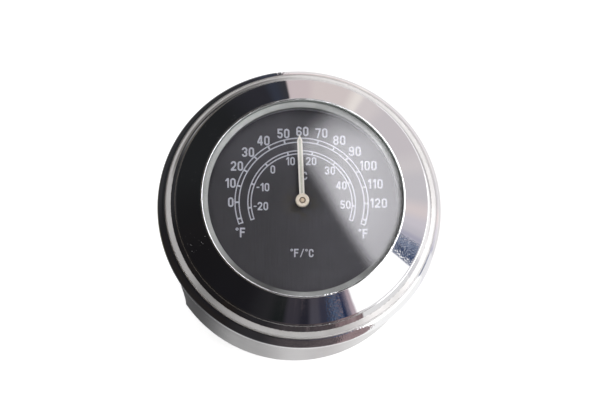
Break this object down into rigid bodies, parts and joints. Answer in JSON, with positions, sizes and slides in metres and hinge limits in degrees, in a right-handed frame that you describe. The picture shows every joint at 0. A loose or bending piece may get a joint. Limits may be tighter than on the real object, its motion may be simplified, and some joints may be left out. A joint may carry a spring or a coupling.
{
  "type": "handlebar thermometer",
  "caption": "Round dial thermometer with a stepped metal bezel on a split clamp that fastens it to a motorcycle handlebar.",
  "frame": {"origin": "on the handlebar's axis, straight under the middle of the dial", "axes": "+Z out of the dial's face, +X along the handlebar to the dial's 3 o'clock, +Y to its 12 o'clock"},
  "size_m": [0.0489, 0.0488, 0.0441],
  "materials": {
    "satin_body": "satin turned metal",
    "polished_bezel": "mirror-polished plate",
    "pale_seal": "matte pale grey ring",
    "lens_glass": "clear mineral glass",
    "lens_gasket": "grey silicone",
    "black_ring": "matte black",
    "dial_black": "dark grey satin dial",
    "dial_print": "matte off-white print",
    "pointer_gilt": "pale gilt",
    "pointer_fill": "pale cream filling",
    "hub_gilt": "polished gilt",
    "movement_brass": "plain brass",
    "bush_brass": "plain brass",
    "two_metal_strip": "brassy steel strip",
    "small_steel": "steel",
    "clamp_steel": "plated steel"
  },
  "bodies": {
    "housing": {"housing": "satin_body", "bezel_ring": "polished_bezel", "bezel_seal": "pale_seal", "lens": "lens_glass", "lens_gasket": "lens_gasket", "spacer_ring": "black_ring", "dial_plate": "dial_black", "dial_scales": "dial_print", "dial_numerals": "dial_print", "bimetal_coil": "two_metal_strip", "coil_post": "movement_brass", "movement_plate": "movement_brass", "movement_bridge": "movement_brass", "movement_pillars": "movement_brass", "pillar_screws": "small_steel", "plate_screws": "small_steel", "front_bush": "bush_brass", "rear_bush": "bush_brass"},
    "pointer": {"pointer": "pointer_gilt", "pointer_inlay": "pointer_fill", "pointer_hub": "hub_gilt", "staff": "hub_gilt", "coil_collet": "movement_brass"},
    "clamp_cap": {"clamp_cap": "satin_body", "clamp_washers": "clamp_steel"},
    "screw_top": {"clamp_screw_top": "clamp_steel"},
    "screw_bottom": {"clamp_screw_bottom": "clamp_steel"}
  },
  "joints": [
    {"name": "pointer_turn", "type": "hinge", "parent": "housing", "child": "pointer", "pos_m": [0, 0, 0], "axis": [0, 0, 1], "range_deg": [-112, 108], "stiffness_Nm_per_rad": 0.000002, "deforming": ["bimetal_coil"]},
    {"name": "clamp_open", "type": "slide", "parent": "housing", "child": "clamp_cap", "axis": [0, 0, -1], "range_m": [0, 0.005]},
    {"name": "screw_top_turn", "type": "hinge", "parent": "clamp_cap", "child": "screw_top", "pos_m": [0, 0.0161, 0], "axis": [0, 0, -1], "range_deg": [0, 2573]},
    {"name": "screw_bottom_turn", "type": "hinge", "parent": "clamp_cap", "child": "screw_bottom", "pos_m": [0, -0.0161, 0], "axis": [0, 0, -1], "range_deg": [0, 2573]}
  ],
  "couplings": [
    {"joint": "screw_top_turn", "follows": "clamp_open", "rad_per_m": 8976},
    {"joint": "screw_bottom_turn", "follows": "clamp_open", "rad_per_m": 8976}
  ]
}
